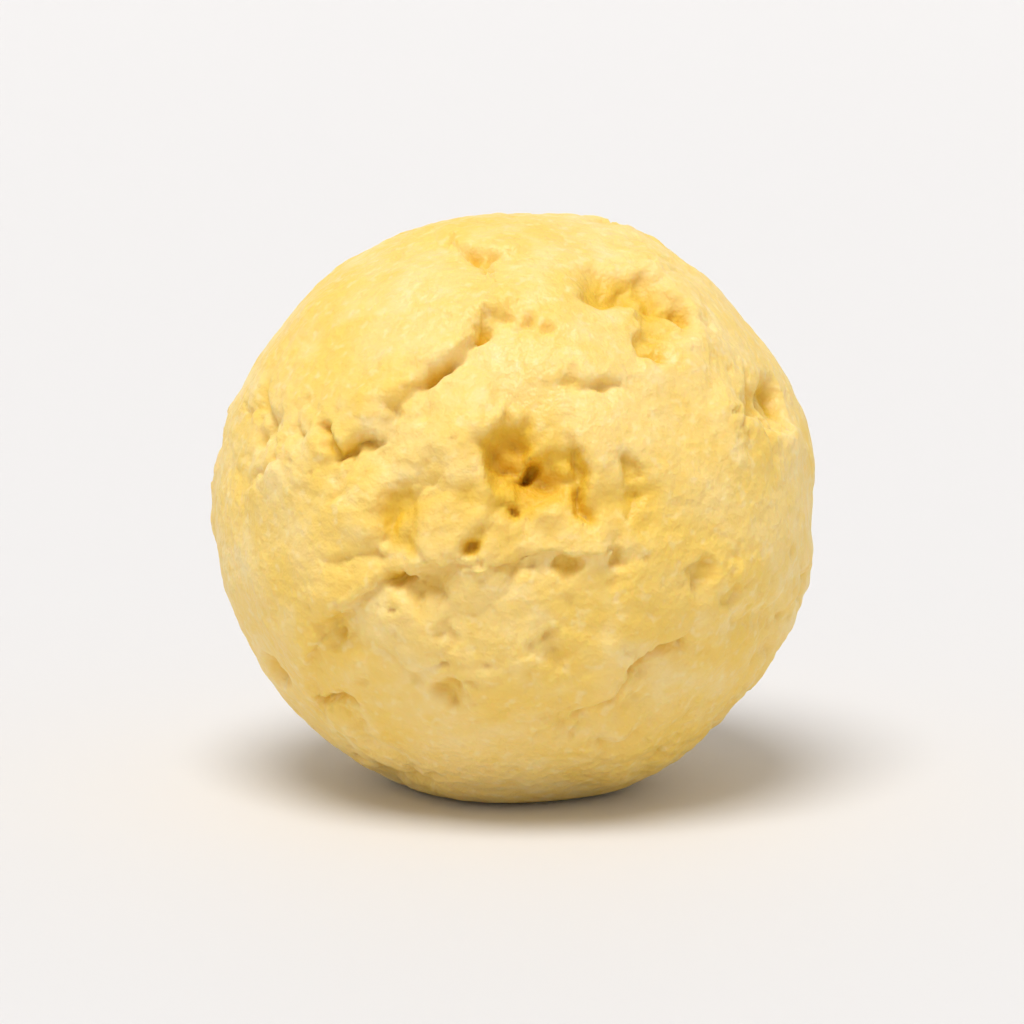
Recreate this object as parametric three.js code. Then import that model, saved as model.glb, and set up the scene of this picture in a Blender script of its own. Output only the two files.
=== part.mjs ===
// A raw cheese bread ball: one lump of soft dough, rolled between the palms and set down.
// Millimetres, +Z up. The origin is the middle of the flat spot that the ball has settled on, and
// the side with the long torn crease faces -Y.
import * as THREE from "three";
import { mergeVertices } from "three/addons/utils/BufferGeometryUtils.js";

const { clamp, degToRad, lerp, seededRandom, smoothstep } = THREE.MathUtils;

// Driving dimensions
const BALL_DIAMETER = 35;
const SETTLE = 1.3; // how far the soft ball has sunk onto the surface under it
const SETTLE_ROUND = 0.6; // height over which the flat spot rounds into the ball
const MESH_DETAIL = 22; // points added along each edge of the icosahedron that the ball starts from

const RADIUS = BALL_DIAMETER / 2;
const CENTRE_HEIGHT = RADIUS - SETTLE;

// Dough finish
const DOUGH_COLOUR = 0xf4d37f;
const DOUGH_ROUGHNESS = 0.55;

// Uneven rolling: the size across and the height of each set of soft swells
const SWELLS = [
  { size: 21, height: 0.65, seed: 1 },
  { size: 9, height: 0.4, seed: 2 },
  { size: 5, height: 0.3, seed: 4 },
];

// Lines and hollows wander off their plain shapes by two sizes of warp
const WANDER = { size: 3.4, reach: 0.8, seeds: [11, 12, 13] };
const FRAY = { size: 1.05, reach: 0.5, seeds: [14, 15, 16] };

// Craggy and smooth patches: patches of noise, and crags round every tear and hollow
const CRAG = { size: 9, swing: 0.9, offset: -0.08, seed: 3, low: -0.1, high: 0.5 };
const CRAG_BESIDE_TEAR = 2.6;
const CRAG_BESIDE_HOLLOW = { radii: 1.2, more: 0.8 };
const CRAG_NEAR_FEATURE = 0.5;

// Dough pressed together from lumps, with nodules on them: each share is what smooth patches keep
const LUMP = { size: 5.2, height: 0.85, seed: 31, wander: 0.9, fray: 0, smoothShare: 0.35 };
const NODULE = { size: 2.4, height: 0.36, seed: 32, wander: 0.5, fray: 0.2, smoothShare: 0.15 };
const CAP_MIDDLE = 0.4;
const CAP_REACH = 0.95;

// Gaps left where nodules meet, in nodule sizes from the nearest middle, shallower inside hollows
const GAP = { depth: 0.46, start: 0.6, full: 0.95 };
const GAP_IN_HOLLOW = { least: 0.3, start: 0.4, full: 1.2 };

// Tears: the groove widens and deepens in beads along its length, and one lip stands proud
const BEAD = { size: 1.9, middle: 0.55, swing: 1.3, most: 1.3, seed: 21 };
const GROOVE = { width: 0.5, beadWidth: 0.65, depth: 0.25, beadDepth: 0.8, floor: 0.2, rim: 1.05 };
const LEDGE = { sharpness: 0.5, reach: 3.4 };

// Hollows: an uneven floor, a steep wall, and what is added where two of them overlap
const FLOOR = { size: 1.5, middle: 0.9, swing: 0.65, least: 0.35, most: 1.5, seed: 22 };
const HOLLOW_WALL = { foot: 0.45, rim: 1.15 };
const HOLLOW_OVERLAP = 0.35;
const TEAR_OVERLAP = 0.25;

// The least half width of a groove or hole, and the most depth for each millimetre of half width
const NARROWEST = 1.1;
const STEEPEST = 0.85;

// Places on the front, as fractions of the radius across and up, seen from a little above level
const FRONT_ELEVATION = degToRad(10);

// Tears on the front: places along the path, half width, depth and the step between the two lips
const FRONT_TEARS = [
  // The long crease that climbs from the left towards the top, its notches and its tail
  tear([[-0.57, 0.18], [-0.46, 0.25], [-0.35, 0.39], [-0.21, 0.51], [-0.1, 0.62]], 0.75, 0.4, 0.3),
  tear([[-0.6, 0.27], [-0.575, 0.19], [-0.53, 0.195], [-0.455, 0.25]], 0.8, 1.2, 0.1),
  tear([[-0.385, 0.36], [-0.345, 0.405]], 0.85, 1.0, 0.1),
  tear([[-0.235, 0.485], [-0.195, 0.525]], 0.85, 1.0, 0.1),
  tear([[-0.13, 0.59], [-0.07, 0.64]], 0.75, 0.9, 0.1),
  tear([[-0.07, 0.645], [0.01, 0.64], [0.09, 0.615]], 0.8, 0.9, 0.15),
  // The wavy crease near the top
  tear([[-0.2, 0.9], [-0.1, 0.81], [0.0, 0.86]], 0.65, 0.8, 0.2),
  // The hooked tear on the upper right, and the short slit below it
  tear([[0.26, 0.74], [0.42, 0.78], [0.56, 0.66], [0.47, 0.52]], 0.8, 0.35, 0.25),
  tear([[0.21, 0.43], [0.28, 0.445], [0.34, 0.44]], 0.9, 0.6, 0.3),
  // The hook at the left edge, and the lip under the notch at the right edge
  tear([[-0.76, 0.28], [-0.77, 0.18], [-0.84, 0.11]], 0.75, 0.8, 0.2),
  tear([[0.91, 0.27], [0.84, 0.27], [0.77, 0.32]], 0.8, 0.4, 0.3),
  // Two upright marks right of the middle
  tear([[0.385, 0.15], [0.39, 0.07], [0.385, -0.01]], 0.8, 0.9, 0.15),
  tear([[0.35, -0.07], [0.33, -0.15]], 0.8, 0.8, 0.12),
  // The fold at the lower left, and the dash under it
  tear([[-0.66, -0.48], [-0.6, -0.36], [-0.5, -0.28], [-0.37, -0.22]], 0.9, 0.5, 0.35),
  tear([[-0.65, -0.645], [-0.56, -0.62]], 0.8, 0.8, 0.15),
  // The valley left of the middle
  tear([[-0.355, 0.09], [-0.365, -0.05], [-0.375, -0.2]], 1.3, 0.8, 0.15),
  // The step under the middle hollow's rim, and that hollow's steep left and right walls
  tear(
    [[-0.24, -0.17], [-0.12, -0.175], [0.0, -0.165], [0.12, -0.145], [0.28, -0.13]],
    0.9, 0.35, 0.4,
  ),
  tear([[-0.09, 0.1], [-0.1, 0.2], [-0.07, 0.31]], 0.9, 1.1, 0.35),
  tear([[0.225, 0.18], [0.24, 0.1], [0.235, 0.02]], 0.9, 1.5, 0.3),
  // The slots under that hollow
  tear([[-0.045, 0.025], [0.015, -0.005]], 0.75, 1.1, 0.1),
  tear([[-0.06, -0.04], [-0.09, -0.08], [-0.125, -0.115]], 0.7, 1.3, 0.1),
  // The crack at the lower right
  tear([[0.22, -0.66], [0.34, -0.58], [0.4, -0.48], [0.55, -0.44]], 0.8, 0.7, 0.3),
];

// Hollows on the front: place, radius and depth
const FRONT_HOLLOWS = [
  // The broad dip in the middle
  hollow([0.03, 0.07], 5.5, 0.6),
  hollow([-0.27, 0.02], 3.0, 0.5),
  hollow([0.37, 0.01], 3.2, 0.55),
  // The torn hollow in that dip, deepest on its left, and the hole in it
  hollow([-0.03, 0.21], 1.9, 1.5),
  hollow([0.09, 0.11], 2.4, 1.15),
  hollow([0.17, 0.12], 2.0, 1.0),
  hollow([0.02, 0.06], 1.9, 0.8),
  hollow([0.07, 0.15], 0.85, 2.8),
  // The foot of its left wall, the deep part of its right wall and the deep ends of the slots
  hollow([-0.06, 0.13], 1.3, 1.1),
  hollow([0.24, 0.09], 0.75, 1.1),
  hollow([0.235, 0.045], 0.6, 1.1),
  hollow([0.012, -0.003], 0.65, 1.3),
  hollow([-0.12, -0.11], 0.65, 1.3),
  // Holes and dents round it
  hollow([-0.36, -0.02], 2.2, 0.8),
  hollow([0.31, 0.75], 2.3, 1.0),
  hollow([0.42, 0.72], 2.3, 0.9),
  hollow([0.5, 0.62], 2.0, 0.7),
  hollow([0.545, 0.635], 0.8, 1.1),
  hollow([0.48, 0.53], 1.5, 0.85),
  hollow([0.05, 0.625], 0.8, 0.6),
  hollow([0.19, -0.18], 0.9, 0.9),
  hollow([0.385, 0.04], 0.8, 0.6),
  hollow([-0.38, -0.22], 1.0, 1.0),
  hollow([-0.8, -0.54], 1.3, 0.8),
  hollow([-0.21, -0.58], 1.2, 0.6),
  hollow([-0.21, -0.4], 0.7, 0.45),
  // The notch at the right edge
  hollow([0.8, 0.36], 1.4, 0.7),
  hollow([0.87, 0.36], 1.8, 1.1),
  // The patch at the lower right
  hollow([0.62, -0.2], 1.2, 0.6),
  hollow([0.7, -0.26], 0.9, 0.5),
  hollow([0.12, -0.44], 1.0, 0.45),
];

// The other sides are torn alike, by seeded draws between a least and a most
const DRAW_SEED = 20817;
const DRAWN_TEAR = { count: 24, turn: 0, stride: 2.1, steps: [3, 7], bend: [-0.5, 0.5] };
const DRAWN_TEAR_SIZE = { halfWidth: [0.7, 1.1], depth: [0.25, 0.75], ledge: [0.1, 0.3] };
const DRAWN_PATCH = { count: 17, turn: 1, stride: 1.6, steps: 5, bend: [-1.2, 1.2] };
const DRAWN_PATCH_SIZE = { radius: [0.6, 1.8], depth: [0.25, 0.9] };
const FRONT_LIMIT = 0.1;
const UNDERSIDE = -0.8;

// Relief dies away towards the flat spot, between these heights on a unit ball
const SETTLED_LOW = -0.97;
const SETTLED_HIGH = -0.82;

const FULL_TURN = 2 * Math.PI;
const GOLDEN_TURN = Math.PI * (3 - Math.sqrt(5));
const CROSSWISE = new THREE.Vector3(0.36, 0.48, 0.8);
const NOISE_GAIN = 1.3;

// Odd numbers that mix a lattice corner and a seed, and the bits of the mix that each axis takes
const CORNER_MIX = [0x8da6b343, 0xd8163841, 0xcb1ab31f];
const SEED_MIX = 0x9e3779b1;
const LAST_MIX = [0x2c1b3c6d, 0x297a2d39];
const SHARE_BITS = 10;
const SHARE_MOST = 2 ** SHARE_BITS - 1;

// A tear along places on the front.
function tear(places, halfWidth, depth, ledge) {
  return { path: places.map(frontPoint), halfWidth, depth, ledge };
}

// A hollow at a place on the front.
function hollow(place, radius, depth) {
  return { centre: frontPoint(place), radius, depth };
}

// A 32-bit number mixed from a lattice corner and a seed.
function cornerHash(corner, seed) {
  let mixed = Math.imul(seed, SEED_MIX);
  corner.forEach((value, axis) => {
    mixed ^= Math.imul(value, CORNER_MIX[axis]);
  });
  mixed = Math.imul(mixed ^ (mixed >>> 15), LAST_MIX[0]);
  mixed = Math.imul(mixed ^ (mixed >>> 12), LAST_MIX[1]);
  return (mixed ^ (mixed >>> 15)) >>> 0;
}

// One of three shares from 0 to 1 held in a hash, one for each axis.
function hashShare(hash, axis) {
  return ((hash >>> (SHARE_BITS * axis)) & SHARE_MOST) / SHARE_MOST;
}

// Gradient noise: a slope drawn at each corner of a cubic lattice, blended by a quintic fade.
function noise(point, size, seed) {
  const at = point.toArray().map((value) => value / size);
  const base = at.map(Math.floor);
  const within = at.map((value, axis) => value - base[axis]);
  const fade = within.map((t) => t * t * t * (t * (t * 6 - 15) + 10));
  let total = 0;
  for (let corner = 0; corner < 8; corner += 1) {
    const step = [corner & 1, (corner >> 1) & 1, corner >> 2];
    const hash = cornerHash(base.map((value, axis) => value + step[axis]), seed);
    let weight = 1;
    let rise = 0;
    for (let axis = 0; axis < 3; axis += 1) {
      weight *= step[axis] ? fade[axis] : 1 - fade[axis];
      rise += (2 * hashShare(hash, axis) - 1) * (within[axis] - step[axis]);
    }
    total += weight * rise;
  }
  return NOISE_GAIN * total;
}

// Three noises at once, as a vector.
function warp(point, { size, seeds }) {
  return new THREE.Vector3(...seeds.map((seed) => noise(point, size, seed)));
}

// Distance to the nearest of a scatter with one point drawn in each lattice cell, in cells.
function nearestScatter(point, size, seed) {
  const at = point.toArray().map((value) => value / size);
  const base = at.map(Math.floor);
  let nearest = Infinity;
  for (let cell = 0; cell < 27; cell += 1) {
    const corner = [
      base[0] + (cell % 3) - 1,
      base[1] + (Math.floor(cell / 3) % 3) - 1,
      base[2] + Math.floor(cell / 9) - 1,
    ];
    const hash = cornerHash(corner, seed);
    const offset = corner.map((value, axis) => value + hashShare(hash, axis) - at[axis]);
    nearest = Math.min(nearest, Math.hypot(...offset));
  }
  return nearest;
}

// The point of the plain ball at a place on the front.
function frontPoint([across, up]) {
  const toward = Math.sqrt(1 - across * across - up * up);
  const sin = Math.sin(FRONT_ELEVATION);
  const cos = Math.cos(FRONT_ELEVATION);
  const direction = new THREE.Vector3(across, up * sin - toward * cos, up * cos + toward * sin);
  return direction.multiplyScalar(RADIUS);
}

const FRONT = frontPoint([0, 0]).normalize();

// One of `count` even directions on a spiral from the top of a unit ball to its bottom.
function spiralDirection(index, count, turn) {
  const z = 1 - (2 * (index + 0.5)) / count;
  const ring = Math.sqrt(1 - z * z);
  const angle = index * GOLDEN_TURN + turn;
  return new THREE.Vector3(ring * Math.cos(angle), ring * Math.sin(angle), z);
}

// A draw between a least and a most value.
function drawBetween([least, most]) {
  return lerp(least, most, seededRandom());
}

// A unit vector along the surface at a direction, turned by a heading.
function alongSurface(direction, heading) {
  const level = new THREE.Vector3().crossVectors(direction, CROSSWISE).normalize();
  const square = new THREE.Vector3().crossVectors(direction, level);
  return level.multiplyScalar(Math.cos(heading)).addScaledVector(square, Math.sin(heading));
}

// Points of a walk over the plain ball, whose heading turns by the same bend at each stride.
function walk(direction, heading, bend, steps, stride) {
  const points = [];
  for (let step = 0; step < steps; step += 1) {
    points.push(direction.clone().multiplyScalar(RADIUS));
    const ahead = alongSurface(direction, heading + step * bend);
    direction.addScaledVector(ahead, stride / RADIUS).normalize();
  }
  return points;
}

// Whether a path enters the front, which has its own features, or the flat spot, which has none.
function strays(path) {
  return path.some((point) => point.dot(FRONT) > FRONT_LIMIT * RADIUS || point.z < UNDERSIDE * RADIUS);
}

// Short tears on the other sides, each a walk of a few strides.
function drawnTears() {
  const made = [];
  for (let index = 0; index < DRAWN_TEAR.count; index += 1) {
    const start = spiralDirection(index, DRAWN_TEAR.count, DRAWN_TEAR.turn);
    const heading = drawBetween([0, FULL_TURN]);
    const bend = drawBetween(DRAWN_TEAR.bend);
    const steps = Math.floor(drawBetween(DRAWN_TEAR.steps));
    const halfWidth = drawBetween(DRAWN_TEAR_SIZE.halfWidth);
    const depth = drawBetween(DRAWN_TEAR_SIZE.depth);
    const ledge = drawBetween(DRAWN_TEAR_SIZE.ledge);
    const path = walk(start, heading, bend, steps, DRAWN_TEAR.stride);
    if (!strays(path)) made.push({ path, halfWidth, depth, ledge });
  }
  return made;
}

// Torn patches on the other sides, each a short walk of overlapping hollows.
function drawnHollows() {
  const made = [];
  for (let index = 0; index < DRAWN_PATCH.count; index += 1) {
    const start = spiralDirection(index, DRAWN_PATCH.count, DRAWN_PATCH.turn);
    const heading = drawBetween([0, FULL_TURN]);
    const bend = drawBetween(DRAWN_PATCH.bend);
    const path = walk(start, heading, bend, DRAWN_PATCH.steps, DRAWN_PATCH.stride);
    const patch = path.map((centre) => {
      const radius = drawBetween(DRAWN_PATCH_SIZE.radius);
      const depth = drawBetween(DRAWN_PATCH_SIZE.depth);
      return { centre, radius, depth };
    });
    if (!strays(path)) made.push(...patch);
  }
  return made;
}

// A point moved by the wander and the fray, so that a plain line or circle comes out ragged.
function warped(point, wanderReach, frayReach) {
  const moved = point.clone();
  if (wanderReach) moved.addScaledVector(warp(point, WANDER), wanderReach);
  if (frayReach) moved.addScaledVector(warp(point, FRAY), frayReach);
  return moved;
}

// Distance from a point to a path, and how far it lies to the left of the path.
function pathDistance(point, path) {
  let distance = Infinity;
  let side = 0;
  for (let index = 1; index < path.length; index += 1) {
    const line = new THREE.Line3(path[index - 1], path[index]);
    const run = line.delta(new THREE.Vector3());
    const off = point.clone().sub(line.closestPointToPoint(point, true, new THREE.Vector3()));
    if (off.length() < distance) {
      distance = off.length();
      side = run.clone().cross(off).dot(point) / (run.length() * RADIUS);
    }
  }
  return { distance, side };
}

// A bell curve: 1 at a distance of 0, dying away past the reach.
function bell(distance, reach) {
  return Math.exp(-((distance / reach) ** 2));
}

// How craggy the surface is at a point, 0 to 1.
function cragginess(point, ragged) {
  let near = 0;
  for (const { path } of tears) {
    near = Math.max(near, bell(pathDistance(ragged, path).distance, CRAG_BESIDE_TEAR));
  }
  for (const { centre, radius } of hollows) {
    const reach = CRAG_BESIDE_HOLLOW.radii * radius + CRAG_BESIDE_HOLLOW.more;
    near = Math.max(near, bell(ragged.distanceTo(centre), reach));
  }
  const patch = CRAG.swing * noise(point, CRAG.size, CRAG.seed) + CRAG.offset;
  return smoothstep(patch + CRAG_NEAR_FEATURE * near, CRAG.low, CRAG.high);
}

// Soft swells of the whole ball.
function swellHeight(point) {
  return SWELLS.reduce((sum, { size, height, seed }) => sum + height * noise(point, size, seed), 0);
}

// Round caps that crowd together, and how far each point lies from the nearest cap's middle.
function cappedRelief(point, crag, { size, height, seed, wander, fray, smoothShare }) {
  const distance = nearestScatter(warped(point, wander, fray), size, seed);
  const cap = CAP_MIDDLE - Math.min(distance, CAP_REACH) ** 2;
  return { distance, raised: height * cap * lerp(smoothShare, 1, crag) };
}

// Depth of the gaps where nodules meet.
function gapDepth(distance, crag, sunk) {
  const open = lerp(1, GAP_IN_HOLLOW.least, smoothstep(sunk, GAP_IN_HOLLOW.start, GAP_IN_HOLLOW.full));
  return GAP.depth * smoothstep(distance, GAP.start, GAP.full) * crag * open;
}

// The beaded groove of every tear, and the step in height from one lip to the other.
function tearRelief(point, ragged) {
  const beadNoise = BEAD.swing * noise(point, BEAD.size, BEAD.seed);
  const bead = clamp(BEAD.middle + beadNoise, 0, BEAD.most);
  let groove = 0;
  let step = 0;
  for (const { path, halfWidth, depth, ledge } of tears) {
    const { distance, side } = pathDistance(ragged, path);
    const width = Math.max(halfWidth * (GROOVE.width + GROOVE.beadWidth * bead), NARROWEST);
    const deepest = Math.min(depth * (GROOVE.depth + GROOVE.beadDepth * bead), STEEPEST * width);
    const cut = 1 - smoothstep(distance / width, GROOVE.floor, GROOVE.rim);
    groove = Math.max(groove, deepest * cut);
    const rise = ledge * Math.tanh(side / (LEDGE.sharpness * halfWidth));
    step += rise * bell(distance, LEDGE.reach * halfWidth);
  }
  return { groove, step };
}

// Two depths at one point: the greater, and a share of the lesser.
function overlapped(one, other, share) {
  return Math.max(one, other) + share * Math.min(one, other);
}

// Depth of the hollows, with steep walls and an uneven floor.
function hollowDepth(point, ragged) {
  const uneven = FLOOR.middle + FLOOR.swing * noise(point, FLOOR.size, FLOOR.seed);
  const floor = clamp(uneven, FLOOR.least, FLOOR.most);
  let sunk = 0;
  for (const { centre, radius, depth } of hollows) {
    const width = Math.max(radius, NARROWEST);
    const deepest = Math.min(depth * floor, STEEPEST * width);
    const share = ragged.distanceTo(centre) / width;
    const cut = 1 - smoothstep(share, HOLLOW_WALL.foot, HOLLOW_WALL.rim);
    sunk = overlapped(sunk, deepest * cut, HOLLOW_OVERLAP);
  }
  return sunk;
}

// Height of the dough above the plain ball in a direction.
function reliefHeight(direction) {
  const point = direction.clone().multiplyScalar(RADIUS);
  const ragged = warped(point, WANDER.reach, FRAY.reach);
  const crag = cragginess(point, ragged);
  const lump = cappedRelief(point, crag, LUMP);
  const nodule = cappedRelief(point, crag, NODULE);
  const { groove, step } = tearRelief(point, ragged);
  const sunk = hollowDepth(point, ragged);
  const raised = swellHeight(point) + lump.raised + nodule.raised + step;
  const gaps = gapDepth(nodule.distance, crag, sunk);
  const cut = overlapped(groove, sunk, TEAR_OVERLAP) + gaps;
  return (raised - cut) * smoothstep(direction.z, SETTLED_LOW, SETTLED_HIGH);
}

// A height held at or above zero, with a rounded turn where it meets zero.
function restingHeight(z) {
  const blend = Math.max(SETTLE_ROUND - Math.abs(z), 0) / SETTLE_ROUND;
  return Math.max(z, 0) + (blend * blend * SETTLE_ROUND) / 4;
}

// The whole ball: an even triangle mesh pushed in and out along its radii, then set down.
function doughGeometry() {
  const plain = new THREE.IcosahedronGeometry(1, MESH_DETAIL);
  plain.deleteAttribute("normal");
  plain.deleteAttribute("uv");
  const geometry = mergeVertices(plain);
  const position = geometry.getAttribute("position");
  const vertex = new THREE.Vector3();
  for (let index = 0; index < position.count; index += 1) {
    const direction = vertex.fromBufferAttribute(position, index).normalize();
    const radius = RADIUS + reliefHeight(direction);
    const z = restingHeight(CENTRE_HEIGHT + radius * direction.z);
    position.setXYZ(index, radius * direction.x, radius * direction.y, z);
  }
  geometry.computeVertexNormals();
  return geometry;
}

seededRandom(DRAW_SEED);
const tears = [...FRONT_TEARS, ...drawnTears()];
const hollows = [...FRONT_HOLLOWS, ...drawnHollows()];

const dough = new THREE.MeshStandardMaterial({
  color: DOUGH_COLOUR,
  roughness: DOUGH_ROUGHNESS,
  metalness: 0,
});
const ball = new THREE.Mesh(doughGeometry(), dough);
ball.name = "dough_ball";

const part = new THREE.Group();
part.add(ball);

export default part;
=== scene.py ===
"""One ball of raw cheese bread dough: hand rolled, torn, pitted and moist, at rest on a pale floor.
Sizes on the ball are in millimetres. Meshes, camera and light are in metres."""

import math
from typing import NamedTuple

import bpy
import numpy as np
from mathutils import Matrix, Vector


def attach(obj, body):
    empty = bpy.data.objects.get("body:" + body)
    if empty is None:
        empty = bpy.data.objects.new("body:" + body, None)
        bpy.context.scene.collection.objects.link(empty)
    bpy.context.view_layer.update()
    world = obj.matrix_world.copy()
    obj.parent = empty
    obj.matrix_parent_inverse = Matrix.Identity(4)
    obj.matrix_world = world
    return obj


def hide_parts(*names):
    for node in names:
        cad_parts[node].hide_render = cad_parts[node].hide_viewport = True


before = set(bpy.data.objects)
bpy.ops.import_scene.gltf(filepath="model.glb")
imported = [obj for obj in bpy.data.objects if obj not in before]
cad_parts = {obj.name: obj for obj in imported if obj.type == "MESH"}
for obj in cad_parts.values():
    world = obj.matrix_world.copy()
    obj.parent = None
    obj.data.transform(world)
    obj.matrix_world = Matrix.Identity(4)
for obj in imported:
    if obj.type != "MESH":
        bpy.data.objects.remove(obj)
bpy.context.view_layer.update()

MM = 0.001


class Layer(NamedTuple):
    """A layer of noise: its size across, height and seed."""

    size: float
    height: float
    seed: int


class Caps(NamedTuple):
    """Round caps that crowd together: their size across, height and seed, how far each warp moves
    them, and the share of their height that smooth patches keep."""

    size: float
    height: float
    seed: int
    wander: float
    fray: float
    smooth_share: float


class Mottle(NamedTuple):
    """A colour laid on in patches of noise: their size across and detail, the noise values between
    which the colour comes in, and how much of it is laid on."""

    size: float
    detail: float
    low: float
    high: float
    share: float
    colour: tuple


class PaintedShade(NamedTuple):
    """Painted shade: a darker colour laid on where the dough is open, as shade in its recesses: the mask
    that it follows, the depths between which the colour comes in, and how much of it is laid on."""

    mask: str
    low: float
    high: float
    share: float
    colour: tuple


# The ball's driving dimensions, as in the solid
BALL_DIAMETER = 35.0
SETTLE = 1.3  # how far the soft ball has sunk onto the surface under it
SETTLE_ROUND = 0.6  # height over which the flat spot rounds into the ball
RADIUS = BALL_DIAMETER / 2
CENTRE_HEIGHT = RADIUS - SETTLE
FACE_CELLS = 128  # cells along each edge of the cube that the ball is blown up from

# Uneven rolling, as soft swells of the whole ball
SWELLS = (
    Layer(size=21.0, height=0.65, seed=1),
    Layer(size=9.0, height=0.40, seed=2),
    Layer(size=5.0, height=0.30, seed=4),
)

# Dough pressed together from lumps, with nodules on them and crumb on those
LUMPS = Caps(size=5.2, height=0.85, seed=31, wander=0.9, fray=0.0, smooth_share=0.35)
NODULES = Caps(size=2.4, height=0.36, seed=32, wander=0.5, fray=0.2, smooth_share=0.15)
CRUMB = Caps(size=1.0, height=0.22, seed=33, wander=0.0, fray=0.15, smooth_share=0.45)

# How far a cap's middle stands up, in cap heights, and where it stops falling, in cap sizes
CAP_MIDDLE, CAP_REACH = 0.4, 0.95

# Fine ripples of the skin, and the share that smooth patches keep
RIPPLES = (Layer(size=0.52, height=0.05, seed=42), Layer(size=1.7, height=0.08, seed=41))
RIPPLE_SMOOTH_SHARE = 0.7

# Two sizes of warp that make plain lines and circles ragged: size, reach and seeds
WANDER_SIZE, WANDER_REACH, WANDER_SEEDS = 3.4, 0.8, (11, 12, 13)
FRAY_SIZE, FRAY_REACH, FRAY_SEEDS = 1.05, 0.5, (14, 15, 16)

# Craggy and smooth patches: patches of noise, and crags round every tear and hollow
CRAG_SIZE, CRAG_SEED = 9.0, 3
CRAG_SWING, CRAG_OFFSET = 0.9, -0.08
CRAG_LOW, CRAG_HIGH = -0.1, 0.5
CRAG_BESIDE_TEAR = 2.6
CRAG_BESIDE_HOLLOW_RADII, CRAG_BESIDE_HOLLOW_MORE = 1.2, 0.8
CRAG_NEAR_FEATURE = 0.5

# Gaps where nodules meet: depth, and where they open, in nodule sizes from the nearest middle
GAP_DEPTH, GAP_START, GAP_FULL = 0.46, 0.60, 0.95

# Pores where a fine noise runs high, and the share of their depth that smooth patches keep
PORE_DEPTH, PORE_SIZE, PORE_SEED = 0.22, 0.8, 52
PORE_START, PORE_FULL = 0.3, 0.6
PORE_SMOOTH_SHARE = 0.1

# The share of gaps and pores that deep hollows keep, and the depths between which it falls to that
OPEN_LEAST, OPEN_START, OPEN_FULL = 0.3, 0.4, 1.2

# Tears: the groove widens and deepens in beads along its length, and one lip stands proud
BEAD_SIZE, BEAD_SEED = 1.9, 21
BEAD_MIDDLE, BEAD_SWING, BEAD_MOST = 0.55, 1.3, 1.3
GROOVE_WIDTH, GROOVE_BEAD_WIDTH = 0.5, 0.65
GROOVE_DEPTH, GROOVE_BEAD_DEPTH = 0.25, 0.8
GROOVE_FLOOR, GROOVE_RIM = 0.2, 1.05
LEDGE_SHARPNESS, LEDGE_REACH = 0.5, 3.4

# The proud lip slides over its groove by a share of the ledge, between two distances in half widths
LIP_SLIDE, LIP_START, LIP_REACH = 0.8, 0.5, 2.4

# Hollows: an uneven floor, a steep wall, and what is added where two depths overlap
BOTTOM_SIZE, BOTTOM_SEED = 1.5, 22
BOTTOM_MIDDLE, BOTTOM_SWING = 0.9, 0.65
BOTTOM_LEAST, BOTTOM_MOST = 0.35, 1.5
WALL_FOOT, WALL_RIM = 0.45, 1.15
HOLLOW_OVERLAP, TEAR_OVERLAP = 0.35, 0.25

# Places on the front are fractions of the radius across and up, seen from a little above level
FRONT_ELEVATION = math.radians(10)

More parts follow.
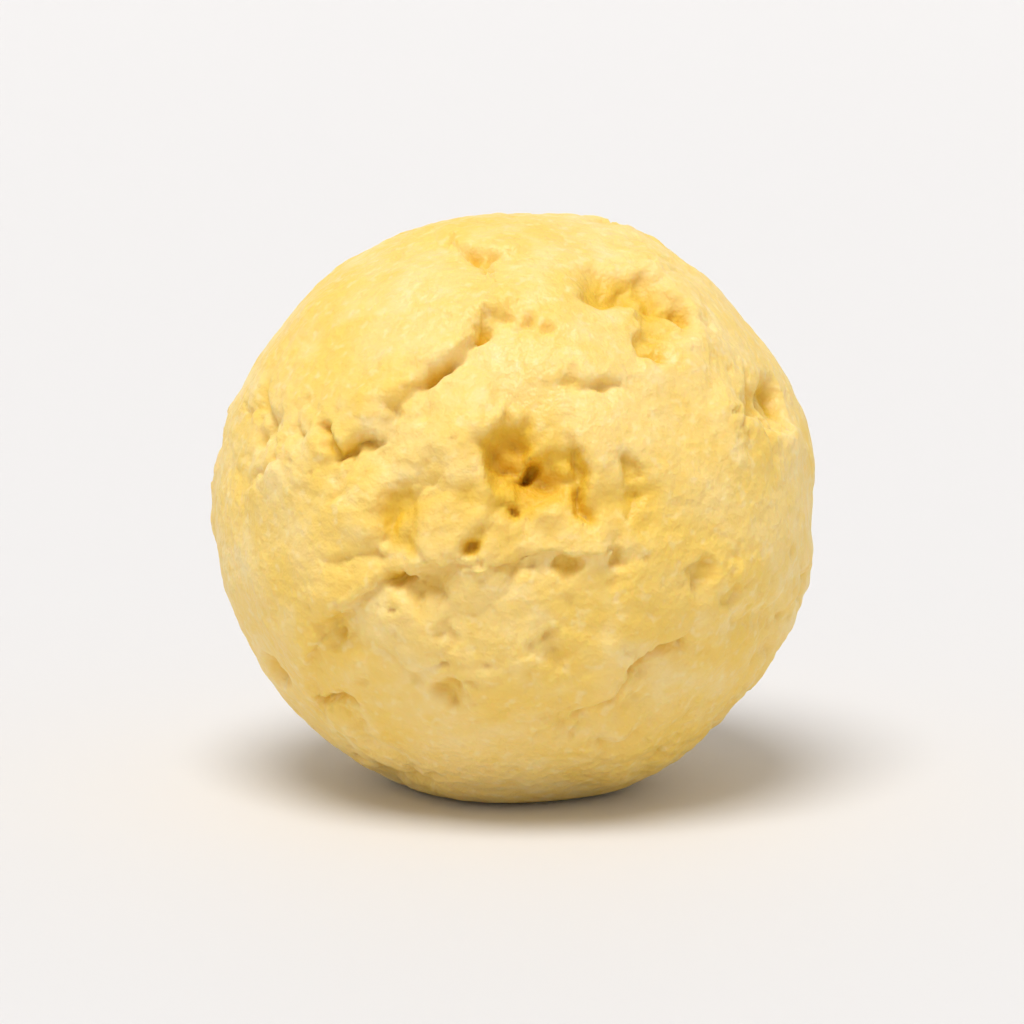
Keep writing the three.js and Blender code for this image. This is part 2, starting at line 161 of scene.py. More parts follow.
# Tears on the front: places along the path, half width, depth and the step between its two lips
FRONT_TEARS = (
    # The long crease that climbs from the left towards the top, its notches and its tail
    (((-0.57, 0.18), (-0.46, 0.25), (-0.35, 0.39), (-0.21, 0.51), (-0.10, 0.62)), 0.75, 0.4, 0.3),
    (((-0.60, 0.27), (-0.575, 0.19), (-0.53, 0.195), (-0.455, 0.25)), 0.8, 1.2, 0.1),
    (((-0.385, 0.36), (-0.345, 0.405)), 0.85, 1.0, 0.1),
    (((-0.235, 0.485), (-0.195, 0.525)), 0.85, 1.0, 0.1),
    (((-0.13, 0.59), (-0.07, 0.64)), 0.75, 0.9, 0.1),
    (((-0.07, 0.645), (0.01, 0.64), (0.09, 0.615)), 0.8, 0.9, 0.15),
    # The wavy crease near the top
    (((-0.20, 0.90), (-0.10, 0.81), (0.0, 0.86)), 0.65, 0.8, 0.2),
    # The hooked tear on the upper right, and the short slit below it
    (((0.26, 0.74), (0.42, 0.78), (0.56, 0.66), (0.47, 0.52)), 0.8, 0.35, 0.25),
    (((0.21, 0.43), (0.28, 0.445), (0.34, 0.44)), 0.9, 0.6, 0.3),
    # The hook at the left edge, and the lip under the notch at the right edge
    (((-0.76, 0.28), (-0.77, 0.18), (-0.84, 0.11)), 0.75, 0.8, 0.2),
    (((0.91, 0.27), (0.84, 0.27), (0.77, 0.32)), 0.8, 0.4, 0.3),
    # Two upright marks right of the middle
    (((0.385, 0.15), (0.39, 0.07), (0.385, -0.01)), 0.8, 0.9, 0.15),
    (((0.35, -0.07), (0.33, -0.15)), 0.8, 0.8, 0.12),
    # The fold at the lower left, and the dash under it
    (((-0.66, -0.48), (-0.60, -0.36), (-0.50, -0.28), (-0.37, -0.22)), 0.9, 0.5, 0.35),
    (((-0.65, -0.645), (-0.56, -0.62)), 0.8, 0.8, 0.15),
    # The valley left of the middle
    (((-0.355, 0.09), (-0.365, -0.05), (-0.375, -0.20)), 1.3, 0.8, 0.15),
    # The step under the middle hollow's rim, and that hollow's steep left and right walls
    (((-0.24, -0.17), (-0.12, -0.175), (0.0, -0.165), (0.12, -0.145), (0.28, -0.13)), 0.9, 0.35, 0.4),
    (((-0.09, 0.10), (-0.10, 0.20), (-0.07, 0.31)), 0.9, 1.1, 0.35),
    (((0.225, 0.18), (0.24, 0.10), (0.235, 0.02)), 0.9, 1.5, 0.3),
    # The slots under that hollow
    (((-0.045, 0.025), (0.015, -0.005)), 0.75, 1.1, 0.1),
    (((-0.06, -0.04), (-0.09, -0.08), (-0.125, -0.115)), 0.7, 1.3, 0.1),
    # The crack at the lower right
    (((0.22, -0.66), (0.34, -0.58), (0.40, -0.48), (0.55, -0.44)), 0.8, 0.7, 0.3),
)

# Hollows on the front: place, radius and depth
FRONT_HOLLOWS = (
    # The broad dip in the middle
    ((0.03, 0.07), 5.5, 0.6),
    ((-0.27, 0.02), 3.0, 0.5),
    ((0.37, 0.01), 3.2, 0.55),
    # The torn hollow in that dip, deepest on its left, and the hole in it
    ((-0.03, 0.21), 1.9, 1.5),
    ((0.09, 0.11), 2.4, 1.15),
    ((0.17, 0.12), 2.0, 1.0),
    ((0.02, 0.06), 1.9, 0.8),
    ((0.07, 0.15), 0.85, 2.8),
    # The foot of its left wall, the deep part of its right wall and the deep ends of the slots
    ((-0.06, 0.13), 1.3, 1.1),
    ((0.24, 0.09), 0.75, 1.1),
    ((0.235, 0.045), 0.6, 1.1),
    ((0.012, -0.003), 0.65, 1.3),
    ((-0.12, -0.11), 0.65, 1.3),
    # Holes and dents round it
    ((-0.36, -0.02), 2.2, 0.8),
    ((0.31, 0.75), 2.3, 1.0),
    ((0.42, 0.72), 2.3, 0.9),
    ((0.50, 0.62), 2.0, 0.7),
    ((0.545, 0.635), 0.8, 1.1),
    ((0.48, 0.53), 1.5, 0.85),
    ((0.05, 0.625), 0.8, 0.6),
    ((0.19, -0.18), 0.9, 0.9),
    ((0.385, 0.04), 0.8, 0.6),
    ((-0.38, -0.22), 1.0, 1.0),
    ((-0.80, -0.54), 1.3, 0.8),
    ((-0.21, -0.58), 1.2, 0.6),
    ((-0.21, -0.40), 0.7, 0.45),
    # The notch at the right edge
    ((0.80, 0.36), 1.4, 0.7),
    ((0.87, 0.36), 1.8, 1.1),
    # The patch at the lower right
    ((0.62, -0.20), 1.2, 0.6),
    ((0.70, -0.26), 0.9, 0.5),
    ((0.12, -0.44), 1.0, 0.45),
)

# The other sides are torn alike, by seeded draws between a least and a most
DRAW_SEED = 20817
TEAR_COUNT, TEAR_TURN, TEAR_STRIDE = 24, 0, 2.1
TEAR_STEPS, TEAR_BEND = (3, 7), (-0.5, 0.5)
TEAR_HALF_WIDTH, TEAR_DEPTH, TEAR_LEDGE = (0.7, 1.1), (0.25, 0.75), (0.1, 0.3)
PATCH_COUNT, PATCH_TURN, PATCH_STRIDE = 17, 1, 1.6
PATCH_STEPS, PATCH_BEND = 5, (-1.2, 1.2)
PATCH_RADIUS, PATCH_DEPTH = (0.6, 1.8), (0.25, 0.9)
ANY_HEADING = (0, 2 * math.pi)

# How far their walks may come round towards the front, and down towards the flat spot, in radii
FRONT_LIMIT = 0.1
UNDERSIDE = -0.8

# Small pits all over: where they lie, their draws, and the powers that make large ones rarer
PIT_COUNT, PIT_TURN, PIT_JITTER = 460, 2, (-0.06, 0.06)
PIT_RADIUS, PIT_RADIUS_POWER = (0.25, 0.75), 3
PIT_STRETCH, PIT_STRETCH_POWER = (1.2, 3.2), 2
ANY_GRAIN = (0, math.pi)

# A pit's depth for its radius, its floor and rim in radii, how far it is looked for, and its fray
PIT_DEPTH, PIT_FLOOR, PIT_RIM = 0.6, 0.1, 1.15
PIT_REACH = 3
PIT_FRAY = 0.3

# The chance that a pit stays on a smooth patch, and what a crag adds to it
PIT_CHANCE, PIT_CRAG_CHANCE = 0.06, 0.75

# Relief dies away towards the flat spot, between these heights on a unit ball
SETTLED_LOW, SETTLED_HIGH = -0.97, -0.82

# Dough colours, as screen colours of 0 to 255
DOUGH = (244, 211, 127)
BUTTER = (242, 204, 98)
STARCH = (249, 229, 174)
# The two golds below are painted shade: darker, deeper colours laid into pits, gaps, tears and hollows
SHADE_GOLD = (231, 187, 48)
DEEP_SHADE_GOLD = (222, 165, 10)

# Butter and starch mottling over the dough, coarse to fine
MOTTLES = (
    Mottle(size=7.0, detail=3.0, low=0.38, high=0.66, share=1.0, colour=BUTTER),
    Mottle(size=3.2, detail=3.0, low=0.46, high=0.72, share=0.4, colour=STARCH),
    Mottle(size=1.5, detail=2.0, low=0.50, high=0.72, share=0.5, colour=BUTTER),
    Mottle(size=0.7, detail=1.0, low=0.55, high=0.75, share=0.35, colour=STARCH),
)

# Painted shade: darker gold in pits and gaps, then in tears and hollows, then a deeper gold in the deepest
# of those
PAINTED_SHADES = (
    PaintedShade(mask="pitted", low=0.05, high=0.7, share=0.55, colour=SHADE_GOLD),
    PaintedShade(mask="cut", low=0.1, high=1.1, share=0.9, colour=SHADE_GOLD),
    PaintedShade(mask="cut", low=0.9, high=2.2, share=0.8, colour=DEEP_SHADE_GOLD),
)

# The skin's roughness where it is moist, what dry patches and crags add, and the dry patches' noise
MOIST_ROUGHNESS, DRY_MORE, CRAG_MORE = 0.44, 0.18, 0.06
DRY_SIZE, DRY_DETAIL, DRY_LOW, DRY_HIGH = 2.4, 2.0, 0.35, 0.65

# The skin's fine grain: size across, detail, strength and depth
SKIN_SIZE, SKIN_DETAIL, SKIN_STRENGTH, SKIN_DEPTH = 0.55, 2.0, 0.45, 0.45

# Light that soaks into the dough: its share, its reach, and how far red, green and blue go of that
SOAK_SHARE, SOAK_REACH, SOAK_COLOURS = 0.45, 0.8, (1.0, 0.62, 0.22)
SHINE = 0.45

# Floor, flat in the middle and swept up to its rim, with rings that crowd towards the middle
FLOOR_FLAT, FLOOR_REACH, FLOOR_RISE = 0.8, 2.0, 1.4
FLOOR_RINGS, FLOOR_SPOKES, FLOOR_CROWDING = 64, 128, 1.5
FLOOR_COLOUR, FLOOR_ROUGHNESS = (223, 221, 220), 0.7

# Light: a white surround, and a key light by its strength, breadth and place from the ball's middle
SURROUND, SURROUND_STRENGTH = (1.0, 1.0, 1.0, 1.0), 0.41
KEY_STRENGTH, KEY_BREADTH = 2.45, math.radians(32)
KEY_FROM = (-0.10, -0.30, 0.82)

# Camera: lens in millimetres, distance, elevation, and the nearest that it sees
CAMERA_LENS, CAMERA_DISTANCE = 200.0, 0.335
CAMERA_ELEVATION = FRONT_ELEVATION
CAMERA_NEAREST = 0.01

# Odd numbers and shifts that mix a lattice corner and a seed, and the bits that each axis takes
WORD = 2**32 - 1
CORNER_MIX = np.array([0x8DA6B343, 0xD8163841, 0xCB1AB31F], dtype=np.uint32)
SEED_MIX = 0x9E3779B1
SHIFT_MIX = np.array([(15, 0x2C1B3C6D), (12, 0x297A2D39)], dtype=np.uint32)
LAST_SHIFT = np.uint32(15)
SHARE_BITS = 10
SHARE_MOST = 2**SHARE_BITS - 1
NOISE_GAIN = 1.3

# The step of the draws' counter, and the shifts and low bits that mix it
COUNTER_STEP = 0x6D2B79F5
DRAW_SHIFTS = (15, 7, 14)
DRAW_LOW_BITS = (1, 61)

GOLDEN_TURN = math.pi * (3 - math.sqrt(5))  # the turn that spreads the points of a spiral evenly
CROSSWISE = np.array([0.36, 0.48, 0.8])  # the axis that headings over the surface are taken from
TINY = 1e-6  # too small to divide by, or to tell two points apart

# The screen's curve: its most, the end and slope of its straight toe, then its offset and power
SCREEN_MOST = 255
TOE_END, TOE_SLOPE = 0.04045, 12.92
CURVE_OFFSET, CURVE_POWER = 0.055, 2.4

# The numbers of a colour Mix node's factor, its two colours and its output
MIX_FACTOR, MIX_PLAIN, MIX_FULL, MIX_COLOUR = 0, 6, 7, 2


def corner_hash(corners, seed):
    """A 32-bit number for each lattice corner: its three numbers and a seed, mixed by products,
    shifts and exclusive or."""
    mixed = np.bitwise_xor.reduce(corners.astype(np.uint32) * CORNER_MIX, axis=1)
    mixed = mixed ^ np.uint32((seed * SEED_MIX) & WORD)
    for shift, factor in SHIFT_MIX:
        mixed = (mixed ^ (mixed >> shift)) * factor
    return mixed ^ (mixed >> LAST_SHIFT)


def hash_shares(corners, seed):
    """Three shares from 0 to 1 for each lattice corner, each from its own bits of the hash."""
    shifts = (SHARE_BITS * np.arange(3)).astype(np.uint32)
    bits = (corner_hash(corners, seed)[:, None] >> shifts) & np.uint32(SHARE_MOST)
    return bits / SHARE_MOST


def noise(points, size, seed):
    """Gradient noise: a slope drawn at each corner of a cubic lattice, blended by a quintic fade."""
    at = points / size
    base = np.floor(at)
    within = at - base
    fade = within**3 * (within * (within * 6 - 15) + 10)
    total = np.zeros(len(points))
    for step in np.ndindex(2, 2, 2):
        slope = 2 * hash_shares((base + step).astype(np.int64), seed) - 1
        weight = np.where(step, fade, 1 - fade).prod(axis=1)
        total += weight * (slope * (within - step)).sum(axis=1)
    return NOISE_GAIN * total


def noise_sum(points, layers):
    """Layers of noise added up, each times its height."""
    return sum(layer.height * noise(points, layer.size, layer.seed) for layer in layers)


def warp(points, size, seeds):
    """Three noises side by side, as a vector for each point."""
    return np.stack([noise(points, size, seed) for seed in seeds], axis=1)


def nearest_scatter(points, size, seed):
    """Distance to the nearest of a scatter with one point drawn in each lattice cell, in cells."""
    at = points / size
    base = np.floor(at).astype(np.int64)
    nearest = np.full(len(points), np.inf)
    for cell in np.ndindex(3, 3, 3):
        corner = base + np.array(cell) - 1
        gap = np.linalg.norm(corner + hash_shares(corner, seed) - at, axis=1)
        nearest = np.minimum(nearest, gap)
    return nearest


def smoothstep(low, high, value):
    """0 below low, 1 above high, and 3t² - 2t³ of the share t between them."""
    t = np.clip((value - low) / (high - low), 0, 1)
    return t * t * (3 - 2 * t)


def bell(distance, reach):
    """A bell curve: e to the minus square of distance over reach, so 1 at a distance of 0."""
    return np.exp(-((distance / reach) ** 2))


def overlapped(one, other, share):
    """Two depths at one point: the greater, and a share of the lesser."""
    return np.maximum(one, other) + share * np.minimum(one, other)


def kept_share(smooth_share, crag):
    """The share of a relief that is kept: its smooth share on smooth patches, up to 1 on crags."""
    return smooth_share + (1 - smooth_share) * crag


def seeded_draws(seed):
    """An endless run of seeded draws from 0 to 1, each mixed from a counter by shifts and products."""
    first_shift, next_shift, last_shift = DRAW_SHIFTS
    first_bits, next_bits = DRAW_LOW_BITS
    counter = seed & WORD
    while True:
        counter = (counter + COUNTER_STEP) & WORD
        mixed = ((counter ^ (counter >> first_shift)) * (counter | first_bits)) & WORD
        product = ((mixed ^ (mixed >> next_shift)) * (mixed | next_bits)) & WORD
        mixed ^= (mixed + product) & WORD
        yield ((mixed ^ (mixed >> last_shift)) & WORD) / (WORD + 1)


def between(draw, span, power=1):
    """A draw between the least and the most of a span; a higher power makes the most rarer."""
    least, most = span
    return least + (most - least) * next(draw) ** power


def unit(vector):
    """The vector scaled to length 1."""
    return vector / np.linalg.norm(vector)


def front_point(across, up):
    """The point of the plain ball at a place on the front, on the axes of a view from above level."""
    toward = math.sqrt(1 - across**2 - up**2)
    sin, cos = math.sin(FRONT_ELEVATION), math.cos(FRONT_ELEVATION)
    return RADIUS * np.array([across, up * sin - toward * cos, up * cos + toward * sin])


def spiral_direction(index, count, turn):
    """One of count even directions on a spiral from the top of a unit ball to its bottom."""
    z = 1 - 2 * (index + 0.5) / count
    angle = index * GOLDEN_TURN + turn
    ring = math.sqrt(1 - z * z)
    return np.array([ring * math.cos(angle), ring * math.sin(angle), z])


def along_surface(direction, heading):
    """A unit vector along the surface at a direction, turned by a heading."""
    level = unit(np.cross(direction, CROSSWISE))
    return math.cos(heading) * level + math.sin(heading) * np.cross(direction, level)


def walk(direction, heading, bend, steps, stride):
    """Points of a walk over the plain ball, whose heading turns by the same bend at each stride."""
    points = []
    for _ in range(steps):
        points.append(direction * RADIUS)
        direction = unit(direction + along_surface(direction, heading) * stride / RADIUS)
        heading += bend
    return points


def strays(path):
    """Whether a path enters the front, which has its own features, or the flat spot, which has none."""
    facing = unit(front_point(0, 0))
    return any(point @ facing > FRONT_LIMIT * RADIUS or point[2] < UNDERSIDE * RADIUS for point in path)


def drawn_tears(draw):
    """Short tears on the other sides, each a walk of a few strides."""
    made = []
    for index in range(TEAR_COUNT):
        heading = between(draw, ANY_HEADING)
        bend = between(draw, TEAR_BEND)
        steps = int(between(draw, TEAR_STEPS))
        size = [between(draw, span) for span in (TEAR_HALF_WIDTH, TEAR_DEPTH, TEAR_LEDGE)]
        start = spiral_direction(index, TEAR_COUNT, TEAR_TURN)
        path = walk(start, heading, bend, steps, TEAR_STRIDE)
        if not strays(path):
            made.append((path, *size))
    return made


def drawn_hollows(draw):
    """Torn patches on the other sides, each a short walk of overlapping hollows."""
    made = []
    for index in range(PATCH_COUNT):
        heading = between(draw, ANY_HEADING)
        bend = between(draw, PATCH_BEND)
        start = spiral_direction(index, PATCH_COUNT, PATCH_TURN)
        path = walk(start, heading, bend, PATCH_STEPS, PATCH_STRIDE)
        sizes = [(between(draw, PATCH_RADIUS), between(draw, PATCH_DEPTH)) for _ in path]
        if not strays(path):
            made += [(centre, *size) for centre, size in zip(path, sizes)]
    return made


def drawn_pits(draw):
    """Small stretched pits all over: centre, radius, chance of staying, grain and stretch."""
    made = []
    for index in range(PIT_COUNT):
        jitter = np.array([between(draw, PIT_JITTER) for _ in range(3)])
        direction = unit(spiral_direction(index, PIT_COUNT, PIT_TURN) + jitter)
        radius = between(draw, PIT_RADIUS, PIT_RADIUS_POWER)
        chance = next(draw)
        grain = along_surface(direction, between(draw, ANY_GRAIN))
        stretch = between(draw, PIT_STRETCH, PIT_STRETCH_POWER)
        made.append((direction * RADIUS, radius, chance, grain, stretch))
    return made


def dough_features():
    """The tears, hollows and pits of the whole ball, in the solid's own order of draws."""
    draw = seeded_draws(DRAW_SEED)
    next(draw)  # the solid throws its first draw away
    tears = [([front_point(*place) for place in places], *size) for places, *size in FRONT_TEARS]
    tears += drawn_tears(draw)
    hollows = [(front_point(*place), *size) for place, *size in FRONT_HOLLOWS]
    hollows += drawn_hollows(draw)
    return tears, hollows, drawn_pits(draw)


def path_distance(points, path):
    """Distance to a path, how far to its left a point lies, and the unit vector to the path."""
    distance = np.full(len(points), np.inf)
    side = np.zeros(len(points))
    toward = np.zeros((len(points), 3))
    for start, end in zip(path[:-1], path[1:]):
        run = end - start
        share = np.clip((points - start) @ run / (run @ run), 0, 1)
        off = points - (start + share[:, None] * run)
        gap = np.linalg.norm(off, axis=1)
        left = (np.cross(run, off) * points).sum(axis=1) / (np.linalg.norm(run) * RADIUS)
        nearer = gap < distance
        side = np.where(nearer, left, side)
        toward = np.where(nearer[:, None], -off / np.maximum(gap, TINY)[:, None], toward)
        distance = np.minimum(distance, gap)
    return distance, side, toward


def tear_relief(points, ragged, tears):
    """Groove depth, step between the lips, slide of the proud lip over the groove, and closeness.
    The groove widens and deepens with beads of noise. The step is a tanh across it times a bell, and
    the slide is the square of a falling parabola, from 0 at the path itself."""
    bead = np.clip(BEAD_MIDDLE + BEAD_SWING * noise(points, BEAD_SIZE, BEAD_SEED), 0, BEAD_MOST)
    groove, step, near = np.zeros((3, len(points)))
    slide = np.zeros((len(points), 3))
    for path, half_width, depth, ledge in tears:
        distance, side, toward = path_distance(ragged, path)
        width = half_width * (GROOVE_WIDTH + GROOVE_BEAD_WIDTH * bead)
        cut = 1 - smoothstep(GROOVE_FLOOR, GROOVE_RIM, distance / width)
        groove = np.maximum(groove, depth * (GROOVE_DEPTH + GROOVE_BEAD_DEPTH * bead) * cut)
        rise = ledge * np.tanh(side / (LEDGE_SHARPNESS * half_width))
        step += rise * bell(distance, LEDGE_REACH * half_width)
        lip = np.clip(1 - (distance / (LIP_REACH * half_width)) ** 2, 0, 1) ** 2
        lip *= smoothstep(0, LIP_START * half_width, distance) * (side > 0)
        slide += (LIP_SLIDE * ledge * lip)[:, None] * toward
        near = np.maximum(near, bell(distance, CRAG_BESIDE_TEAR))
    return groove, step, slide, near


def hollow_relief(points, ragged, hollows):
    """Depth of the hollows, with steep walls and a floor made uneven by noise, and closeness."""
    uneven = BOTTOM_MIDDLE + BOTTOM_SWING * noise(points, BOTTOM_SIZE, BOTTOM_SEED)
    bottom = np.clip(uneven, BOTTOM_LEAST, BOTTOM_MOST)
    sunk, near = np.zeros((2, len(points)))
    for centre, radius, depth in hollows:
        distance = np.linalg.norm(ragged - centre, axis=1)
        one = depth * bottom * (1 - smoothstep(WALL_FOOT, WALL_RIM, distance / radius))
        sunk = overlapped(sunk, one, HOLLOW_OVERLAP)
        reach = CRAG_BESIDE_HOLLOW_RADII * radius + CRAG_BESIDE_HOLLOW_MORE
        near = np.maximum(near, bell(distance, reach))
    return sunk, near


def pit_relief(frayed, pits):
    """Depth of the pits, each an oval stretched along its grain."""
    sunk = np.zeros(len(frayed))
    for centre, radius, grain, stretch in pits:
        off = frayed - centre
        close = np.flatnonzero((off * off).sum(axis=1) < (PIT_REACH * radius) ** 2)
        along = off[close] @ grain
        across = np.maximum((off[close] ** 2).sum(axis=1) - along**2, 0)
        share = np.sqrt(across + (along / stretch) ** 2) / radius
        depth = PIT_DEPTH * radius * (1 - smoothstep(PIT_FLOOR, PIT_RIM, share))
        sunk[close] = np.maximum(sunk[close], depth)
    return sunk


def cragginess(points, near):
    """How craggy the surface is, 0 to 1: patches of noise, and more beside each tear and hollow."""
    patch = CRAG_SWING * noise(points, CRAG_SIZE, CRAG_SEED) + CRAG_OFFSET
    return smoothstep(CRAG_LOW, CRAG_HIGH, patch + CRAG_NEAR_FEATURE * near)


def ragged_points(points):
    """Points moved by the wander and the fray, with those two warps."""
    wander = warp(points, WANDER_SIZE, WANDER_SEEDS)
    fray = warp(points, FRAY_SIZE, FRAY_SEEDS)
    return points + WANDER_REACH * wander + FRAY_REACH * fray, wander, fray


def kept_pits(pits, tears, hollows):
    """The pits that stay: a draw under a share that grows with how craggy their place is."""
    centres = np.array([centre for centre, *_ in pits])
    ragged, _, _ = ragged_points(centres)
    *_, by_tear = tear_relief(centres, ragged, tears)
    _, by_hollow = hollow_relief(centres, ragged, hollows)
    crag = cragginess(centres, np.maximum(by_tear, by_hollow))
    return [
        (centre, radius, grain, stretch)
        for (centre, radius, chance, grain, stretch), here in zip(pits, crag)
        if chance <= PIT_CHANCE + PIT_CRAG_CHANCE * here
    ]


def capped_relief(points, wander, fray, crag, caps):
    """Height of round caps over a scatter, and the distance to the nearest middle in cap sizes. A cap
    is its middle's height less the square of that distance, and lower on smooth patches."""
    moved = points + caps.wander * wander + caps.fray * fray
    distance = nearest_scatter(moved, caps.size, caps.seed)
    cap = caps.height * (CAP_MIDDLE - np.minimum(distance, CAP_REACH) ** 2)
    return cap * kept_share(caps.smooth_share, crag), distance


def gap_relief(points, from_nodule, crag, hollow):
    """Depth of the gaps where nodules meet and of the pores, both shallower inside hollows."""
    gaps = GAP_DEPTH * smoothstep(GAP_START, GAP_FULL, from_nodule) * crag
    high = smoothstep(PORE_START, PORE_FULL, noise(points, PORE_SIZE, PORE_SEED))
    pores = PORE_DEPTH * high * kept_share(PORE_SMOOTH_SHARE, crag)
    return (gaps + pores) * (1 - (1 - OPEN_LEAST) * smoothstep(OPEN_START, OPEN_FULL, hollow))


def resting_height(z):
    """Height held at or above zero, with a rounded turn where it meets zero."""
    blend = np.clip(SETTLE_ROUND - np.abs(z), 0, None) / SETTLE_ROUND
    return np.maximum(z, 0) + blend**2 * SETTLE_ROUND / 4


def dough_surface(directions):
    """Points of the dough in each direction from the ball's middle, with masks for its roughness and for
    the painted shade in its recesses.
    The height over a plain ball is swells, lumps, nodules, crumb, ripples and the step at each tear,
    less tears, hollows, pits, gaps and pores. Then the proud lips slide and the ball is set down."""
    tears, hollows, pits = dough_features()
    points = directions * RADIUS
    ragged, wander, fray = ragged_points(points)
    groove, step, slide, by_tear = tear_relief(points, ragged, tears)
    hollow, by_hollow = hollow_relief(points, ragged, hollows)
    crag = cragginess(points, np.maximum(by_tear, by_hollow))

    lump, _ = capped_relief(points, wander, fray, crag, LUMPS)
    nodule, from_nodule = capped_relief(points, wander, fray, crag, NODULES)
    crumb, _ = capped_relief(points, wander, fray, crag, CRUMB)
    ripple = noise_sum(points, RIPPLES) * kept_share(RIPPLE_SMOOTH_SHARE, crag)
    raised = step + noise_sum(points, SWELLS) + lump + nodule + crumb + ripple

    cut = overlapped(groove, hollow, TEAR_OVERLAP)
    pitted = pit_relief(points + PIT_FRAY * fray, kept_pits(pits, tears, hollows))
    pitted += gap_relief(points, from_nodule, crag, hollow)

    settled = smoothstep(SETTLED_LOW, SETTLED_HIGH, directions[:, 2])
    height = (raised - cut - pitted) * settled
    made = directions * (RADIUS + height)[:, None] + slide * settled[:, None]
    made[:, 2] = resting_height(made[:, 2] + CENTRE_HEIGHT)
    # The cut and pitted depths are kept as masks for painted shade in recesses; crag sets roughness
    return made, {"crag": crag, "cut": cut * settled, "pitted": pitted * settled}


def cube_ball(cells):
    """Directions and quads of a cube with equal-angle grids on its faces, blown up to a unit ball."""
    slope = np.tan(np.linspace(-math.pi / 4, math.pi / 4, cells + 1))
    u, v = np.meshgrid(slope, slope, indexing="ij")
    one = np.ones_like(u)
    faces = ((one, u, v), (-one, -u, v), (-u, one, v), (u, -one, v), (-v, u, one), (v, u, -one))
    points = np.concatenate([np.stack(face, axis=-1).reshape(-1, 3) for face in faces])
    points /= np.linalg.norm(points, axis=1, keepdims=True)
    corner = np.arange(u.size).reshape(u.shape)
    quad = np.stack([corner[:-1, :-1], corner[1:, :-1], corner[1:, 1:], corner[:-1, 1:]], axis=-1)
    quads = np.concatenate([quad.reshape(-1, 4) + side * u.size for side in range(len(faces))])
    keys = np.round(points / TINY).astype(np.int64)
    _, first, shared = np.unique(keys, axis=0, return_index=True, return_inverse=True)
    return points[first], shared.reshape(-1)[quads]


def mesh_object(name, points, quads):
    """A smooth mesh object from whole arrays of points, in metres, and quads."""
    mesh = bpy.data.meshes.new(name)
    mesh.vertices.add(len(points))
    mesh.vertices.foreach_set("co", points.astype(np.float32).ravel())
    mesh.loops.add(quads.size)
    mesh.loops.foreach_set("vertex_index", quads.astype(np.int32).ravel())
    mesh.polygons.add(len(quads))
    mesh.polygons.foreach_set("loop_start", np.arange(0, quads.size, quads.shape[1], dtype=np.int32))
    mesh.polygons.foreach_set("use_smooth", np.ones(len(quads), dtype=bool))
    mesh.update()
    mesh.validate()
    made = bpy.data.objects.new(name, mesh)
    bpy.context.scene.collection.objects.link(made)
    return made


class Socket:
    """A shader output for Python expressions: each operator adds one Math node to its tree."""

    def __init__(self, tree, output=None):
        self.tree = tree
        self.output = output

    def node(self, kind, settings=None, inputs=None, output=0):
        """Adds a node of a type, makes its settings, then fills its sockets with values or links."""
        made = self.tree.nodes.new(kind)
        for name, value in (settings or {}).items():
            setattr(made, name, value)
        for key, value in (inputs or {}).items():
            if isinstance(value, Socket):
                self.tree.links.new(value.output, made.inputs[key])
            else:
                made.inputs[key].default_value = value
        return Socket(self.tree, made.outputs[output])

    def math(self, operation, *operands):
        """A Math node's operation on sockets or numbers."""
        return self.node("ShaderNodeMath", {"operation": operation}, dict(enumerate(operands)))

    def __add__(self, other):
        return self.math("ADD", self, other)

    def __radd__(self, other):
        return self.math("ADD", other, self)

    def __mul__(self, other):
        return self.math("MULTIPLY", self, other)

    def __rmul__(self, other):
        return self.math("MULTIPLY", other, self)

    def ramp(self, low, high):
        """A smooth step from 0 at low to 1 at high."""
        settings = {"interpolation_type": "SMOOTHSTEP"}
        return self.node("ShaderNodeMapRange", settings, {"Value": self, "From Min": low, "From Max": high})

    def mix(self, plain, full):
        """The plain colour where this socket is 0 and the full one where it is 1."""
        inputs = {MIX_FACTOR: self, MIX_PLAIN: plain, MIX_FULL: full}
        return self.node("ShaderNodeMix", {"data_type": "RGBA"}, inputs, MIX_COLOUR)


def linear(screen):
    """A screen colour as linear light with full alpha: a straight toe, then an offset power law."""
    share = np.array(screen) / SCREEN_MOST
    curve = ((share + CURVE_OFFSET) / (1 + CURVE_OFFSET)) ** CURVE_POWER
    light = np.where(share <= TOE_END, share / TOE_SLOPE, curve)
    return (*light.tolist(), 1.0)


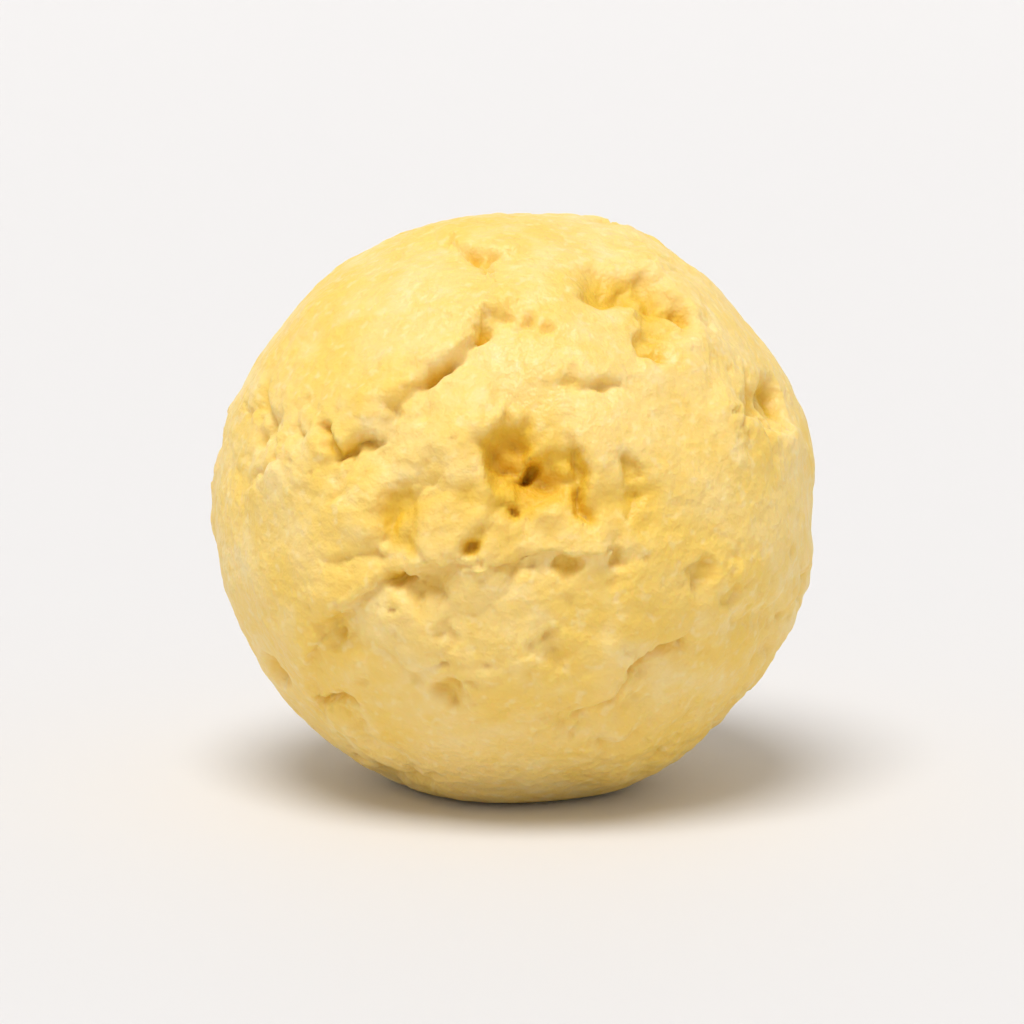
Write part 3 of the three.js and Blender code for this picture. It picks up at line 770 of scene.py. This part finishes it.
def raw_dough_finish():
    """Raw dough: butter and starch mottling, painted golden shade in the pits, tears and hollows, a moist
    satin skin and a fine grain.
    """
    finish = bpy.data.materials.new("raw_dough")
    finish.use_nodes = True
    tree = finish.node_tree
    shader = tree.nodes["Principled BSDF"]
    start = Socket(tree)
    place = start.node("ShaderNodeTexCoord", output="Object")

    def mask(name):
        """A mask that the mesh carries as an attribute: a depth that lays painted shade, or the cragginess
        that sets roughness.
        """
        return start.node("ShaderNodeAttribute", {"attribute_name": name}, output="Fac")

    def grain(size, detail):
        """Noise over the ball with features of a size in millimetres."""
        inputs = {"Vector": place, "Scale": 1 / (size * MM), "Detail": detail}
        return start.node("ShaderNodeTexNoise", None, inputs)

    colour = linear(DOUGH)
    for size, detail, low, high, share, tint in MOTTLES:
        colour = (grain(size, detail).ramp(low, high) * share).mix(colour, linear(tint))
    # Painted shade: darker golds laid on by the depth of pits, gaps, tears and hollows
    for name, low, high, share, tint in PAINTED_SHADES:
        colour = (mask(name).ramp(low, high) * share).mix(colour, linear(tint))

    dry = grain(DRY_SIZE, DRY_DETAIL).ramp(DRY_LOW, DRY_HIGH)
    rough = MOIST_ROUGHNESS + DRY_MORE * dry + CRAG_MORE * mask("crag")

    height = grain(SKIN_SIZE, SKIN_DETAIL)
    relief = {"Height": height, "Strength": SKIN_STRENGTH, "Distance": SKIN_DEPTH * MM}
    skin = start.node("ShaderNodeBump", None, relief, "Normal")

    for name, socket in {"Base Color": colour, "Roughness": rough, "Normal": skin}.items():
        tree.links.new(socket.output, shader.inputs[name])
    shader.inputs["Subsurface Weight"].default_value = SOAK_SHARE
    shader.inputs["Subsurface Radius"].default_value = SOAK_COLOURS
    shader.inputs["Subsurface Scale"].default_value = SOAK_REACH * MM
    shader.inputs["Specular IOR Level"].default_value = SHINE
    return finish


def dough_ball():
    """The ball itself: the dough surface over the blown-up cube, with its masks for roughness and painted
    shade as attributes.
    """
    directions, quads = cube_ball(FACE_CELLS)
    points, masks = dough_surface(directions)
    ball = mesh_object("dough", points * MM, quads)
    for name, values in masks.items():
        layer = ball.data.attributes.new(name, "FLOAT", "POINT")
        layer.data.foreach_set("value", values.astype(np.float32))
    ball.data.materials.append(raw_dough_finish())
    return ball


def pale_floor():
    """A round floor that is flat in the middle and sweeps up as a square law towards its rim. Quads
    join each ring to the next, and a fan of quads fills the first ring."""
    rings = np.linspace(0, 1, FLOOR_RINGS + 1)[1:] ** FLOOR_CROWDING * FLOOR_REACH
    angles = np.linspace(0, 2 * math.pi, FLOOR_SPOKES, endpoint=False)
    reach, angle = np.meshgrid(rings, angles, indexing="ij")
    rise = np.clip((reach - FLOOR_FLAT) / (FLOOR_REACH - FLOOR_FLAT), 0, None) ** 2 * FLOOR_RISE
    points = np.stack([reach * np.cos(angle), reach * np.sin(angle), rise], axis=-1).reshape(-1, 3)
    inner = np.arange((FLOOR_RINGS - 1) * FLOOR_SPOKES).reshape(-1, FLOOR_SPOKES)
    after = np.roll(inner, -1, axis=1)
    quads = np.stack([inner, inner + FLOOR_SPOKES, after + FLOOR_SPOKES, after], axis=-1).reshape(-1, 4)
    hub = np.arange(0, FLOOR_SPOKES - 2, 2)
    fan = np.stack([np.zeros_like(hub), hub + 1, hub + 2, hub + 3], axis=-1)
    floor = mesh_object("floor", points, np.concatenate([fan, quads]))
    paint = bpy.data.materials.new("pale_floor")
    paint.use_nodes = True
    shader = paint.node_tree.nodes["Principled BSDF"]
    shader.inputs["Base Color"].default_value = linear(FLOOR_COLOUR)
    shader.inputs["Roughness"].default_value = FLOOR_ROUGHNESS
    floor.data.materials.append(paint)
    return floor


def aimed(name, data, place, target):
    """An object at a place, turned so that its -Z axis points at a target."""
    made = bpy.data.objects.new(name, data)
    bpy.context.scene.collection.objects.link(made)
    made.location = place
    made.rotation_euler = (target - place).to_track_quat("-Z", "Y").to_euler()
    return made


def studio(target):
    """A pale surround, and one broad key light from above, a little in front and to the left."""
    world = bpy.data.worlds.new("surround")
    world.use_nodes = True
    sky = world.node_tree.nodes["Background"]
    sky.inputs["Color"].default_value = SURROUND
    sky.inputs["Strength"].default_value = SURROUND_STRENGTH
    bpy.context.scene.world = world
    key = bpy.data.lights.new("key", "SUN")
    key.angle = KEY_BREADTH
    key.energy = KEY_STRENGTH
    aimed("key", key, target + Vector(KEY_FROM), target)
    bpy.context.scene.view_settings.view_transform = "Standard"


def camera(target):
    """A long lens a little above level, looking at the ball's front."""
    lens = bpy.data.cameras.new("camera")
    lens.lens = CAMERA_LENS
    lens.clip_start = CAMERA_NEAREST
    back = Vector((0, -math.cos(CAMERA_ELEVATION), math.sin(CAMERA_ELEVATION)))
    bpy.context.scene.camera = aimed("camera", lens, target + back * CAMERA_DISTANCE, target)


def main():
    """Sets up the camera, the light and the floor, and puts the ball in the place of its solid."""
    middle = Vector((0, 0, CENTRE_HEIGHT * MM))
    camera(middle)
    studio(middle)
    pale_floor()
    ball = dough_ball()
    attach(ball, "root")
    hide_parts("dough_ball")


main()
